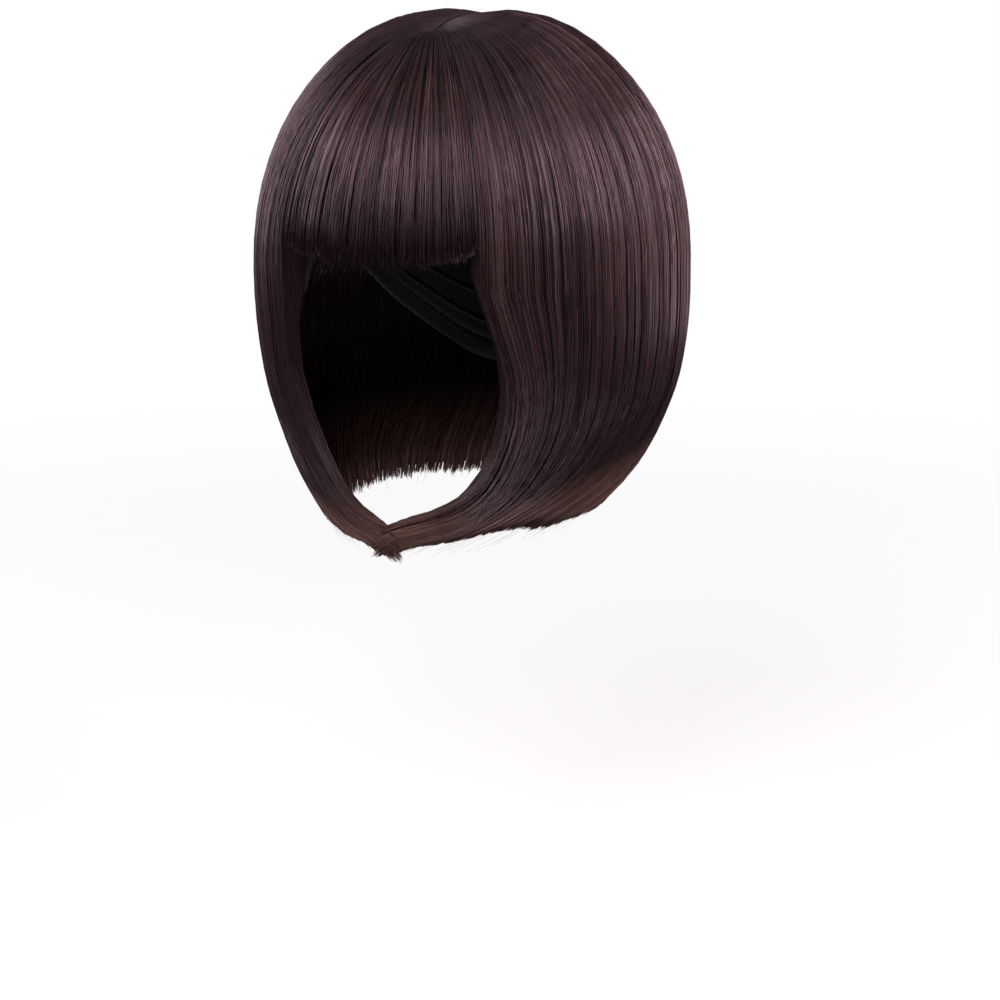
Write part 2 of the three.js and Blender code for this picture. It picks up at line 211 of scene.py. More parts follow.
def on_dome(end_angle, share, lowest):
    end = np.radians(end_angle)
    half = HAIR_ROUNDNESS / 2
    root, _ = plan_line(end)
    start_tilt = np.arccos(np.hypot(root[0], root[1]) ** half)
    lowest_up = np.clip((lowest - WIDEST) / (APEX - WIDEST), 0, 1)
    tilt = mix(start_tilt, np.arcsin(lowest_up**half), share)
    angle = plan_angle(end, np.cos(tilt) ** (1 / half))
    return angle, mix(WIDEST, APEX, np.sin(tilt) ** (1 / half))


def below_widest(end_angle, share):
    side, end = np.sign(end_angle), np.abs(end_angle)
    sideways = np.sin(np.radians(end))
    sweep = SWEEP_ANGLE * np.where(end < 90, np.sqrt(np.maximum(sideways, 0)), sideways)
    near_face = smooth((SIDE_END - end) / (SIDE_END - FACE_ANGLE))
    turns_with_face = smooth((FACE_TURN_FADES - end) / (FACE_TURN_FADES - FACE_ANGLE))
    tip_share = ((1 + np.cos(np.radians(end - sweep))) / 2) ** TIP_NARROWNESS
    corner = np.clip(1 - (end - FACE_ANGLE) / CORNER_ANGLE, 0, 1) ** 2
    fall = HEM_FALL + TIP_FALL * tip_share - CORNER_RISE * corner
    grown = np.clip((share - SWEEP_START) / (1 - SWEEP_START), 0, 1) ** SWEEP_GROWTH
    edge_turn = curve_through(FACE_EDGE["along"], FACE_EDGE["turn"], share)
    edge_fall = curve_through(FACE_EDGE["along"], FACE_EDGE["fall"], share)
    right_turn = curve_through(FACE_EDGE["along"], FACE_EDGE["right"], share)
    fuller = np.where(side < 0, right_turn * near_face, 0)
    angle = end - sweep * mix(grown, edge_turn, turns_with_face) - fuller
    return side * np.radians(angle), WIDEST - fall * mix(share, edge_fall, near_face)


def stations(end_angle, along, is_fringe):
    if is_fringe:
        arch = np.abs(end_angle / FACE_ANGLE) ** FRINGE_ARCH_SQUARENESS
        return on_dome(end_angle, along, APEX - FRINGE_FALL + FRINGE_ARCH * arch)
    above = on_dome(end_angle, np.minimum(along / DOME_PART, 1), WIDEST)
    below = below_widest(end_angle, np.maximum(along - DOME_PART, 0) / (1 - DOME_PART))
    hangs = along > DOME_PART
    return np.where(hangs, below[0], above[0]), np.where(hangs, below[1], above[1])


# %% [markdown]
# The hair has a thickness too. It lies on the cap, and below the cap's widest level it springs
# clear and hangs free. Each strand is then placed by its depth under the outer surface, along the
# line from a point outside to the matching point inside.


# %% Outside and inside of the hair
def inside_of(end_angle, along, angle, level, is_fringe):
    up = np.clip((level - WIDEST) / (APEX - WIDEST), 0, 1)
    lies = up > 0
    seat_level = np.where(lies, mix(CAP_WIDEST, SEAT, up), level + HAIR_BULGE_DROP)
    low = mix(seat_level, level, along**SQUARE_CUT)
    seat_up = np.clip((low - CAP_WIDEST) / (SEAT - CAP_WIDEST), 0, 1)
    seat_angle = plan_angle(np.radians(end_angle), dome_share(seat_up, HEAD_ROUNDNESS))
    turned = np.where(lies, seat_angle, angle)
    thick = mix(LOCK_WALL, HEM_WALL, along**2)
    hair, head = hair_reach(low), head_reach(low, SEAT)
    hung = hair - np.minimum(thick, HAIR_DEPTH.reshape(3, *[1] * np.ndim(thick)))
    seat = point_at(np.where(lies, head, np.minimum(head, hung)), turned, low)
    outside = point_at(hair, turned, low)
    inward = seat - outside
    full = np.linalg.norm(inward, axis=-1)
    leaves = -FRINGE_LEAVES if is_fringe else CAP_WIDEST
    spring = FRINGE_SPRING if is_fringe else SPRING_DROP
    free = smooth((leaves - low) / spring)
    reached = mix(full, np.minimum(thick, full), free)
    return outside + inward * (reached / full)[..., None]


def surfaces(end_angle, along, is_fringe):
    angle, level = stations(end_angle, along, is_fringe)
    outside = point_at(hair_reach(level), angle, level)
    outside[..., 2] -= PARTING_DIP * np.maximum(0, 1 - along / PARTING_DIP_SHARE) ** 2
    return outside, inside_of(end_angle, along, angle, level, is_fringe)


END_STEP = 0.01


def flow(end_angle, along, is_fringe):
    """Outside and inside points; a strand that outruns the hem goes straight on."""
    reached = np.minimum(along, 1)
    outside, inside = surfaces(end_angle, reached, is_fringe)
    before_out, before_in = surfaces(end_angle, np.maximum(reached - END_STEP, 0), is_fringe)
    beyond = ((along - reached) / END_STEP)[..., None]
    return outside + (outside - before_out) * beyond, inside + (inside - before_in) * beyond


# %% [markdown]
# ## Locks and wisps
# Straight fibre doesn't lie as one sheet. It gathers in locks a finger wide, with grooves between
# them, and inside a lock in wisps a few millimetres wide that draw together towards the ends. The
# relief below gives each strand its extra depth from the groove that it is near.

# %% The seven masses of hair
FRONT_END = 62
BACK_END = 180
LOCK_GROOVE = 1.6 * MM
GROOVE_NARROWNESS = 3.5
GROOVE_FADE = 0.25
LOCK_WIDTHS = (0.45, 1.5)  # narrowest and widest, before they are fitted to the mass
GROOVE_DEPTHS = (0.35, 1.25)  # of the full groove
FRINGE_BORDER = 1.3  # the fringe parts clearly from the curtains
OTHER_BORDER = 0.3
WISP_LIFTS = (-0.3, 0.4)  # millimetres
FACE_EDGE_TUCK = 2.5 * MM
TUCK_STARTS = DOME_PART - 0.1
TUCK_RUN = 0.12
WISPS_IN_A_LOCK = 5
PAINTED_EDGE_SHADE = 0.32  # painted shade: the fuller right curtain is darker where it turns in to the face, as if in the fringe's shade
EDGE_SHADE_REACH = 0.7
OVERLAP = 0.008  # share of a mass by which its strands cross its long edges, to close the joints

MASS_COLUMNS = ("ends", "locks", "outer", "inner", "core")  # the last three count strands
MASS_ROWS = {
    "fringe": ((-FACE_ANGLE, FACE_ANGLE), 12, 800, 220, 260),
    "front_lock_left": ((FACE_ANGLE, FRONT_END), 5, 560, 150, 240),
    "front_lock_right": ((-FACE_ANGLE, -FRONT_END), 5, 560, 150, 240),
    "side_hair_left": ((FRONT_END, SIDE_END), 8, 710, 200, 300),
    "side_hair_right": ((-FRONT_END, -SIDE_END), 8, 710, 200, 300),
    "back_hair_left": ((SIDE_END, BACK_END), 12, 840, 280, 480),
    "back_hair_right": ((-SIDE_END, -BACK_END), 12, 840, 280, 480),
}
MASSES = {name: dict(zip(MASS_COLUMNS, row)) for name, row in MASS_ROWS.items()}
print("masses of hair:", len(MASSES), "with", sum(mass["locks"] for mass in MASSES.values()), "locks")


def prepare(name, mass):
    """Adds what the strands of a mass share: its width, its locks and how deep each groove is."""
    first, last = mass["ends"]
    width = abs(math.radians(last - first)) * HAIR[0]
    lock_widths = random.uniform(*LOCK_WIDTHS, mass["locks"])
    borders = np.concatenate([[0], np.cumsum(lock_widths) / lock_widths.sum()])
    grooves = random.uniform(*GROOVE_DEPTHS, mass["locks"] + 1)
    grooves[[0, -1]] = FRINGE_BORDER if name == "fringe" else OTHER_BORDER
    wisps = mass["locks"] * WISPS_IN_A_LOCK
    return {
        **mass,
        "name": name,
        "width": width,
        "is_fringe": name == "fringe",
        "at_face": name.startswith("front_lock"),
        "borders": borders,
        "grooves": grooves,
        "lean": random.uniform(-1, 1, mass["locks"] + 1),
        "wisps": wisps,
        "wisp_lift": random.uniform(*WISP_LIFTS, wisps) * MM,
        "wisp_tint": random.normal(0, 1, wisps),
        "wisp_end": random.normal(0, 1, wisps),
        "lock_tint": random.normal(0, 1, mass["locks"]),
        "edge_shade": PAINTED_EDGE_SHADE if name == "front_lock_right" else 0,
    }


def groove_share(mass, share, along):
    """How near each place is to the bottom of a groove between two locks, from 0 to about 1."""
    locks = np.interp(share, mass["borders"], np.arange(mass["locks"] + 1))
    border = np.clip(np.rint(locks), 0, mass["locks"]).astype(int)
    inner_border = (border > 0) & (border < mass["locks"])
    sway = 0.1 * mass["lean"][border] * np.sin(3 * along + border) * inner_border
    off = np.abs(locks - border + sway)
    return mass["grooves"][border] * np.maximum(0, 1 - 2 * off) ** GROOVE_NARROWNESS


def relief(mass, share, along):
    """Depth under the smooth form: grooves between locks, and the thinned edge at the face."""
    depth = LOCK_GROOVE * groove_share(mass, share, along) * smooth(along / GROOVE_FADE)
    if mass["at_face"]:
        near_edge = np.maximum(0, 1 - share * mass["locks"]) ** 2
        hangs = smooth((along - TUCK_STARTS) / TUCK_RUN)
        depth = np.maximum(depth, FACE_EDGE_TUCK * near_edge * hangs)
    return depth


# %% Paths of many strands at once
GATHER = 0.4  # share of the way to its wisp's middle that a strand moves towards its end
INNER_GATHER = 0.12
GATHER_RANGE = (0.4, 1.2)
GATHER_STARTS = 0.35
WANDER = 0.55 * MM
DRIFT_PACES = (0.5, 1.6)  # slow waves along one strand
ROOT_REACH = 0.65  # how far a root reaches in over the net of the parting
ROOT_RUN = 0.05
MOST_RAISED = 1.8 * MM


def drift(count, step):
    """Slow sideways drift of each strand, from about -1 to 1."""
    pace = random.uniform(*DRIFT_PACES, (count, 1))
    phase = random.uniform(0, 2 * math.pi, (2, count, 1))
    slow = np.sin(2 * math.pi * pace * step + phase[0])
    quick = np.sin(5 * math.pi * pace * step + phase[1])
    return 0.7 * slow + 0.3 * quick


# %% Drawn-out tips, the hem's curve and uneven ends
TIP_PLACE = 0.2  # share across a front lock at which its tip is drawn out most
TIP_SPREAD = 0.4
TIP_REACH = {"front_lock_left": 0.045, "front_lock_right": 0.055}  # the right one laps over the left
TIP_REACHED = (0.45, 1.1)  # of that, from strand to strand
TIP_GATHER = 0.3
TIP_GATHER_STARTS = 0.84
TIP_GATHER_RUN = 0.18
TIP_FALL_BEYOND = 110 * MM  # how steeply the drawn-out tips fall, per whole length
HEM_LIFT = 0.03  # the hem curves up a little between the tips and the ears
HEM_LIFT_ANGLE = 75
HEM_LIFT_SPREAD = 21
WISP_RAGGED = 0.5


def near_tip(mass, share):
    return smooth(1 - np.abs(share - TIP_PLACE) / TIP_SPREAD) * mass["at_face"]


def wisp_of(mass, home):
    return np.clip((home * mass["wisps"]).astype(int), 0, mass["wisps"] - 1)


def lift_of(mass, share):
    first, last = mass["ends"]
    off = (np.abs(mix(first, last, share)) - HEM_LIFT_ANGLE) / HEM_LIFT_SPREAD
    return HEM_LIFT * np.exp(-(off**2)) * (not mass["is_fringe"])


def ends_of(mass, home, ragged):
    """Where each strand ends: a little unevenly, wisp by wisp, and further out at the tips."""
    uneven = np.abs(random.normal(0, ragged, len(home)))
    by_wisp = WISP_RAGGED * ragged * mass["wisp_end"][wisp_of(mass, home)]
    reached = TIP_REACH.get(mass["name"], 0) * near_tip(mass, home)
    drawn_out = reached * random.uniform(*TIP_REACHED, len(home))
    return 1 - uneven + by_wisp + drawn_out - lift_of(mass, home)


# %% Tint of each strand, and its place along the strand
FRINGE_LENGTH_SHARE = 0.42  # of the length of the other strands
SIDE_ROOT = 0.11  # painted shade in part: only the hair over the face is quite dark at its root
SIDE_ROOT_SPREAD = 45
FRINGE_TIP = 0.82  # its ends stay dark, short of the warm ends of the long strands

TINT = 0.47  # 0 is the darkest dye, 1 the lightest
LOCK_TINT = 0.06
WISP_TINT = 0.08
STRAND_TINT = 0.18
PAINTED_GROOVE_SHADE = 0.45  # painted shade: darker in the grooves between locks, where the hair shades itself
PALE_SHARE = 0.07  # strands that stand out as light lines
PALE_TINT = 0.42
TINT_LIMITS = (0.02, 0.98)


def colour_along(mass, share, along):
    """Place along a strand for its colour, so that dark roots, partly painted shade, and warm ends are as
    long on all.
    """
    if not mass["is_fringe"]:
        beside = np.abs(mix(*mass["ends"], share)) - FACE_ANGLE
        return mix(SIDE_ROOT * smooth(beside / SIDE_ROOT_SPREAD), 1, along)
    from_end = FRINGE_TIP - FRINGE_LENGTH_SHARE * (1 - along)
    return mix(FRINGE_LENGTH_SHARE * along, from_end, smooth(along))


def tint_of(mass, home, wisp, share, along):
    lock = np.clip((home * mass["locks"]).astype(int), 0, mass["locks"] - 1)
    tint = TINT + LOCK_TINT * mass["lock_tint"][lock] + WISP_TINT * mass["wisp_tint"][wisp]
    pale = PALE_TINT * (random.uniform(0, 1, len(home)) < PALE_SHARE)
    by_strand = (tint + random.normal(0, STRAND_TINT, len(home)) + pale)[:, None]
    # painted shade at the bottom of each groove
    painted_groove_shade = PAINTED_GROOVE_SHADE * groove_share(mass, share, along)
    # painted shade on the right curtain's strands beside the face
    shade_painted_at_edge = mass["edge_shade"] * smooth(1 - share / EDGE_SHADE_REACH)
    return np.clip(by_strand - painted_groove_shade - shade_painted_at_edge, *TINT_LIMITS)


# %% From a strand's start and end to its path
def strand_paths(mass, home, start, end, points, depth_of, gather):
    """Centre lines of strands that run from start to end, as shares of the way to the hem."""
    count = len(start)
    step = np.linspace(0, 1, points)
    along = start[:, None] + (end - start)[:, None] * step
    wisp = wisp_of(mass, home)
    middle = (wisp + 0.5) / mass["wisps"]
    late = smooth((along - GATHER_STARTS) / (1 - GATHER_STARTS))
    gathered = gather * random.uniform(*GATHER_RANGE, count)[:, None] * late
    share = mix(home[:, None], middle[:, None], gathered)
    share = share + WANDER / mass["width"] * drift(count, step)
    near_end = smooth((along - TIP_GATHER_STARTS) / TIP_GATHER_RUN)
    drawn_in = TIP_GATHER * near_tip(mass, share) * near_end
    share = mix(share, TIP_PLACE, drawn_in)
    share = np.clip(share, 0 if mass["at_face"] else -OVERLAP, 1 + OVERLAP)
    first, last = mass["ends"]
    outside, inside = flow(mix(first, last, share), along, mass["is_fringe"])
    inward = inside - outside
    full = np.linalg.norm(inward, axis=-1)
    depth = depth_of(mass, share, along, step, full, wisp)
    depth = np.clip(depth, -MOST_RAISED, full)
    path = outside + inward * (depth / full)[..., None]
    path[..., 2] -= TIP_FALL_BEYOND * np.maximum(along - 1, 0) * mass["at_face"]
    path[..., 0] *= 1 - ROOT_REACH * (1 - smooth(along / ROOT_RUN))
    return {
        "path": path,
        "outward": -inward / full[..., None],
        "along": colour_along(mass, share, along),
        "tint": tint_of(mass, home, wisp, share, along),
    }


# %% [markdown]
# ## A strand
# One strand here stands for a handful of fibres that lie together. It is a closed tube with three
# sides, smooth shaded, so that it catches the light along its length as real fibre does. Thousands
# of them would be slow as objects or modifiers, so all the strands of a layer are made in one go as
# a joined mesh from arrays: rings of three corners along each path, joined by faces.

# %% Tubes along paths, as arrays
SIDES = 3
FLATNESS = 0.6


def unit(vectors):
    return vectors / np.linalg.norm(vectors, axis=-1, keepdims=True)


def tube_arrays(strands, width, taper):
    """Corners, faces and the two maps of all the strands of a layer."""
    path = strands["path"]
    count, points, _ = path.shape
    tangent = unit(np.gradient(path, axis=1))
    across = unit(np.cross(tangent, strands["outward"]))
    up = np.cross(across, tangent)
    half = (0.5 * width[:, None] * taper)[..., None, None]
    turn = 2 * math.pi * np.arange(SIDES) / SIDES + math.pi / 2
    ring = across[:, :, None] * np.cos(turn)[:, None] + FLATNESS * up[:, :, None] * np.sin(turn)[:, None]
    corners = (path[:, :, None] + half * ring).reshape(-1, 3)
    numbers = [np.arange(count), np.arange(points - 1), np.arange(SIDES)]
    strand, point, side = np.meshgrid(*numbers, indexing="ij")
    base = (strand * points + point) * SIDES
    after = (side + 1) % SIDES
    quads = np.stack([base + side, base + SIDES + side, base + SIDES + after, base + after], -1)
    quads = quads.reshape(-1, 4)
    triangles = np.concatenate([quads[:, [0, 1, 2]], quads[:, [0, 2, 3]]])
    ends = np.arange(count)[:, None] * points * SIDES
    near = ends + np.array([0, 1, 2])
    far = ends + (points - 1) * SIDES + np.array([2, 1, 0])
    fibre = np.stack([np.repeat(strands[part].ravel(), SIDES) for part in ("tint", "along")], -1)
    return corners, np.concatenate([triangles, near, far]), fibre


# %% [markdown]
# A second map, named OFBake, gives each mass a picture in which each strand has a place of its own,
# and no two strands share a place. Strands are long and thin, so each gets a narrow upright column,
# in three rows of columns.

# %% Columns of the picture map
COLUMN_ROWS = 3
STRAND_SHARE = 0.9  # the rest of the picture is the under-layer's


def column_map(total, points_of):
    """A place in the picture for each corner of each strand, in the order they are made."""
    columns = math.ceil(total / COLUMN_ROWS)
    places = []
    made = 0
    for count, points in points_of:
        number = made + np.arange(count)
        left = (number % columns)[:, None, None]
        bottom = (number // columns)[:, None, None]
        side = np.array([0.15, 0.5, 0.85])[None, None]
        step = np.linspace(0.02, 0.98, points)[None, :, None]
        u = (left + side + 0 * step) / columns
        v = STRAND_SHARE * (bottom + step + 0 * side) / COLUMN_ROWS
        places.append(np.stack([u, v], -1).reshape(-1, 2))
        made += count
    return np.concatenate(places)


# %% Join the layers of strands into one mesh
def mesh_of(name, corners, triangles, maps):
    mesh = bpy.data.meshes.new(name)
    mesh.vertices.add(len(corners))
    mesh.vertices.foreach_set("co", corners.astype(np.float32).ravel())
    mesh.loops.add(triangles.size)
    mesh.loops.foreach_set("vertex_index", triangles.astype(np.int32).ravel())
    mesh.polygons.add(len(triangles))
    mesh.polygons.foreach_set("loop_start", np.arange(0, triangles.size, 3, dtype=np.int32))
    mesh.update(calc_edges=True)
    for map_name, places in maps.items():
        layer = mesh.uv_layers.new(name=map_name)
        layer.uv.foreach_set("vector", places[triangles.ravel()].astype(np.float32).ravel())
    mesh.shade_smooth()
    thing = bpy.data.objects.new(name, mesh)
    bpy.context.scene.collection.objects.link(thing)
    return thing


def mesh_from(name, layers):
    """layers is a list of (corners, triangles, fibre map, points along a strand)."""
    offsets = np.cumsum([0] + [len(layer[0]) for layer in layers[:-1]])
    corners = np.concatenate([layer[0] for layer in layers])
    triangles = np.concatenate([layer[1] + offset for layer, offset in zip(layers, offsets)])
    fibre = np.concatenate([layer[2] for layer in layers])
    strands = [(len(layer[0]) // (SIDES * layer[3]), layer[3]) for layer in layers]
    picture = column_map(sum(count for count, _ in strands), strands)
    return mesh_of(name, corners, triangles, {"fibre": fibre, "OFBake": picture})


# %% [markdown]
# ## Layers of strands
# The outer layer makes the surface that is seen: some of its strands start at the parting, and the
# rest rise out of the under-layer further down, because the parting is far shorter than the hem.
# The inner layer lines the side towards the face and neck. The core is the cut end of the hair:
# short strands at every depth between the two, so that the hem is full when it is seen from below.
# The front locks also get an edge layer, at every depth beside the face, where a bare wall would
# show. A hair system could grow all this, but here every strand's start, end and depth is chosen.

# %% How deep the strands of each layer lie
UNDER_DEPTH = 1.7 * MM
OUTER_DEPTH = 1.3 * MM
DEPTH_CROWDING = 1.2  # above 1, more strands lie near the surface
ROOT_SHARE = 0.1
ROOT_DEPTH = 0.4 * MM
HIDDEN_ROOT_DEPTH = UNDER_DEPTH + 0.6 * MM
CROWN_LIFT = 1.5 * MM  # the hair stands up a little on each side of the parting

INNER_OFF = 0.2  # millimetres from the inner surface, and the spread of that
INNER_SPREAD = 1.0
INNER_ROOT = 1.5 * MM
CORE_DEPTHS = (0.12, 0.9)  # of the hair's thickness


def outer_depth(mass, share, along, step, full, wisp):
    layered = OUTER_DEPTH * random.uniform(0, 1, (len(wisp), 1)) ** DEPTH_CROWDING
    from_parting = along[:, :1] < 0.01
    root = np.where(from_parting, ROOT_DEPTH, HIDDEN_ROOT_DEPTH) * (1 - smooth(step / ROOT_SHARE))
    rooted = np.where(step < ROOT_SHARE, np.maximum(layered, root), layered)
    lifted = mass["wisp_lift"][wisp][:, None] * smooth((along - 0.1) / 0.5)
    raised = CROWN_LIFT * smooth(along / 0.04) * (1 - smooth((along - 0.06) / 0.22))
    return rooted + relief(mass, share, along) - lifted - raised


def inner_depth(mass, share, along, step, full, wisp):
    off = (INNER_OFF + INNER_SPREAD * random.uniform(0, 1, (len(wisp), 1))) * MM
    return full - np.maximum(off, INNER_ROOT * (1 - smooth(step / 0.2)))


def core_depth(mass, share, along, step, full, wisp):
    return full * random.uniform(*CORE_DEPTHS, (len(wisp), 1))


# %% What the layers have in common
LAYER_COLUMNS = ("points", "depth", "gather", "widths", "tip")  # widths in mm, tip as a share of them
LAYER_ROWS = {
    "outer": (25, outer_depth, GATHER, (0.4, 0.85), 0.25),
    "inner": (12, inner_depth, INNER_GATHER, (0.8, 1.3), 0.4),
    "core": (6, core_depth, INNER_GATHER, (0.5, 0.9), 0.15),
    "edge": (16, core_depth, INNER_GATHER, (0.6, 1.0), 0.3),
}
FRINGE_POINTS = 21
STRAY_WIDTH = 0.25
ROOT_WIDTH = 0.45
ROOT_TAPER = 0.12
TIP_STARTS = 0.86


def taper_of(points, tip):
    """Full width along most of the strand, thinner at the root, drawn to a point at the tip."""
    step = np.linspace(0, 1, points)
    from_root = ROOT_WIDTH + (1 - ROOT_WIDTH) * smooth(step / ROOT_TAPER)
    return from_root * mix(1, tip, smooth((step - TIP_STARTS) / (1 - TIP_STARTS)))


def layer_of(kind, mass, home, start, end, stray=False):
    """Corners, faces and map of a layer, and the points along each of its strands."""
    layer = dict(zip(LAYER_COLUMNS, LAYER_ROWS[kind]))
    points = FRINGE_POINTS if kind == "outer" and mass["is_fringe"] else layer["points"]
    strands = strand_paths(mass, home, start, end, points, layer["depth"], layer["gather"])
    width = np.where(stray, STRAY_WIDTH, random.uniform(*layer["widths"], len(home))) * MM
    return (*tube_arrays(strands, width, taper_of(points, layer["tip"])), points)


# %% Where the strands of each layer start and end
RAGGED = 0.0045
FRINGE_RAGGED = 0.018
FROM_PARTING = 0.4
LATER_START = (0.02, 0.5)
SHORT_SHARE = 0.1
SHORT_BY = 0.07
STRAY_SHARE = 0.02
STRAY_REACHES = (0.005, 0.022)
INNER_START = {"front": (0.3, 0.45), "rest": (0.45, 0.62)}
CORE_LENGTH = {"fringe": 0.16, "rest": 0.08}
CORE_UNEVEN = (-0.002, 0.005)
EDGE_STRANDS = 150
EDGE_WIDTH = 0.02
EDGE_START = (0.3, 0.5)


def outer_layer(mass):
    count = mass["outer"]
    home = random.uniform(-OVERLAP, 1 + OVERLAP, count)
    from_parting = random.uniform(0, 1, count) < FROM_PARTING
    start = np.where(from_parting, 0, random.uniform(*LATER_START, count))
    end = ends_of(mass, home, FRINGE_RAGGED if mass["is_fringe"] else RAGGED)
    kind = random.uniform(0, 1, count)
    end = np.where(kind < SHORT_SHARE, end - random.uniform(0, SHORT_BY, count), end)
    stray = kind > 1 - STRAY_SHARE
    end = np.where(stray, 1 + random.uniform(*STRAY_REACHES, count), end)
    return layer_of("outer", mass, home, start, end, stray)


def inner_layer(mass):
    home = random.uniform(-OVERLAP, 1 + OVERLAP, mass["inner"])
    in_front = mass["is_fringe"] or mass["at_face"]
    start = random.uniform(*INNER_START["front" if in_front else "rest"], len(home))
    return layer_of("inner", mass, home, start, ends_of(mass, home, RAGGED))


def core_layer(mass):
    home = random.uniform(-OVERLAP, 1 + OVERLAP, mass["core"])
    end = ends_of(mass, home, RAGGED) + random.uniform(*CORE_UNEVEN, len(home))
    length = CORE_LENGTH["fringe" if mass["is_fringe"] else "rest"]
    return layer_of("core", mass, home, end - length, end)


def edge_layer(mass):
    home = random.uniform(0, EDGE_WIDTH, EDGE_STRANDS)
    end = ends_of(mass, home, RAGGED)
    start = random.uniform(*EDGE_START, EDGE_STRANDS)
    return layer_of("edge", mass, home, start, end)


# %% [markdown]
# ## Shells from bent grids
# Between the strands one would look right through the wig. A closed shell just under them stops
# that, as the hidden hair does on the real thing. The cap, its band and the net in the parting are
# thin shells too, so one function makes them all. It starts as a flat grid, which is bent to the
# outer side of the form; the grid is then extruded, and the new layer is moved to the inner side.
# Each vertex carries its number in the grid, and the extruded copies keep it.

# %% A closed shell
def closed_shell(name, segments, bend, map_of, has_doubles=False):
    """bend gives the outer and inner points for the shares across and down the grid.
    map_of gives the place of a corner in each named map, from its shares and its side."""
    shell = bmesh.new()
    number = shell.verts.layers.int.new("number")
    across_parts, down_parts = segments
    bmesh.ops.create_grid(shell, x_segments=across_parts, y_segments=down_parts, size=0.5)
    shares = np.array([vertex.co for vertex in shell.verts])[:, :2] + 0.5
    outer, inner = bend(shares[:, 0], shares[:, 1])
    for index, (vertex, point) in enumerate(zip(shell.verts, outer)):
        vertex[number] = index
        vertex.co = point
    if has_doubles:
        bmesh.ops.remove_doubles(shell, verts=shell.verts, dist=MM / 100)
    grown = bmesh.ops.extrude_face_region(shell, geom=list(shell.faces))["geom"]
    inner_side = {item for item in grown if isinstance(item, bmesh.types.BMVert)}
    for vertex in inner_side:
        vertex.co = inner[vertex[number]]
    bmesh.ops.recalc_face_normals(shell, faces=shell.faces)
    maps = {map_name: shell.loops.layers.uv.new(map_name) for map_name in map_of(0, 0, False)}
    for face in shell.faces:
        face.smooth = True
        is_inside = sum(vertex in inner_side for vertex in face.verts) > 2
        corners = [shares[corner.vert[number]] for corner in face.loops]
        wraps = max(across for across, _ in corners) > 0.7
        for corner, (across, down) in zip(face.loops, corners):
            unrolled = across + 1 if has_doubles and wraps and across < 0.3 else across
            for map_name, place in map_of(unrolled, down, is_inside).items():
                corner[maps[map_name]].uv = place
    shell.verts.layers.int.remove(number)
    mesh = bpy.data.meshes.new(name)
    shell.to_mesh(mesh)
    shell.free()
    thing = bpy.data.objects.new(name, mesh)
    bpy.context.scene.collection.objects.link(thing)
    return thing


# %% The under-layer of a mass of hair
UNDER_ROWS = 30
UNDER_INSIDE = 1.0 * MM
UNDER_OVERLAP = 0.25 * OVERLAP
UNDER_DEEPEST = 0.45  # of the hair's thickness, for its outer side and its lining
UNDER_LINING = 0.25
UNDER_HEM = {"fringe": 0.94, "face": 0.97, "rest": 0.983}


def under_layer(mass):
    full_hem = UNDER_HEM["fringe" if mass["is_fringe"] else "face" if mass["at_face"] else "rest"]

    def bend(across, down):
        share = mix(UNDER_OVERLAP, 1 - UNDER_OVERLAP, across)
        first, last = mass["ends"]
        along = (full_hem - lift_of(mass, share)) * down
        outside, inside = flow(mix(first, last, share), along, mass["is_fringe"])
        inward = inside - outside
        full = np.linalg.norm(inward, axis=-1)
        depth = np.minimum(UNDER_DEPTH + relief(mass, share, along), UNDER_DEEPEST * full)
        lining = full - np.minimum(UNDER_INSIDE, UNDER_LINING * full)
        return outside + inward * (depth / full)[:, None], outside + inward * (lining / full)[:, None]

    def map_of(across, down, is_inside):
        beside = 0.5 * across + (0.5 if is_inside else 0)
        picture_place = (beside, mix(STRAND_SHARE + 0.01, 0.99, down))
        return {"fibre": (across, colour_along(mass, across, full_hem * down)), "OFBake": picture_place}

    return closed_shell(mass["name"] + "_under", (4 * mass["locks"], UNDER_ROWS), bend, map_of)


# %% [markdown]
# ## Colour and finish
# Colours are noted as the sRGB hex values that one would read off a picture, and one function turns
# them into the linear values that the shaders work in. One small function adds a node with its
# settings and links, so that each material below reads as a list of its nodes.


# %% Helpers for materials
def linear(hex_colour):
    parts = [int(hex_colour[i : i + 2], 16) / 255 for i in (1, 3, 5)]
    return [p / 12.92 if p <= 0.04045 else ((p + 0.055) / 1.055) ** 2.4 for p in parts] + [1]


def add_node(material, kind, values=(), links=(), stops=(), **settings):
    """values and links are (socket, value or output) pairs; stops are a colour ramp's."""
    node = material.node_tree.nodes.new(kind)
    for name, value in settings.items():
        setattr(node, name, value)
    for socket, value in values:
        node.inputs[socket].default_value = value
    for socket, output in links:
        material.node_tree.links.new(output, node.inputs[socket])
    for number, (position, colour) in enumerate(stops):
        elements = node.color_ramp.elements
        element = elements[number] if number < 2 else elements.new(position)
        element.position = position
        element.color = linear(colour)
    return node


def new_material(name):
    material = bpy.data.materials.new(name)
    material.use_nodes = True
    material.node_tree.nodes.clear()
    return material


# %% [markdown]
# ### Modacrylic fibre
# The strands are modacrylic, a heat-resistant fibre that is spun smooth and dyed in the mass. It
# has a satin shine, softer than nylon. No two strands are quite alike: the map holds a tint for
# each strand, and its place along the strand makes the roots darker and the ends warmer. The dark
# roots are partly painted shade, darkest over the face, and painted shade also darkens the lengths
# above the hem, the grooves between locks and the right curtain where it turns in to the face.

# %% Hair fibre
DARK_FIBRE = "#170d0d"
MID_FIBRE = "#2f1d1f"
LIGHT_FIBRE = "#574044"
WARM_END = "#876259"


SHINE_TINT = "#ffd3e0"
STREAKS = (160, 2, 1)  # fine across the strands, long along them
STREAK_STRENGTH = 0.35
RANGE_SOCKETS = ("From Min", "From Max", "To Min", "To Max")


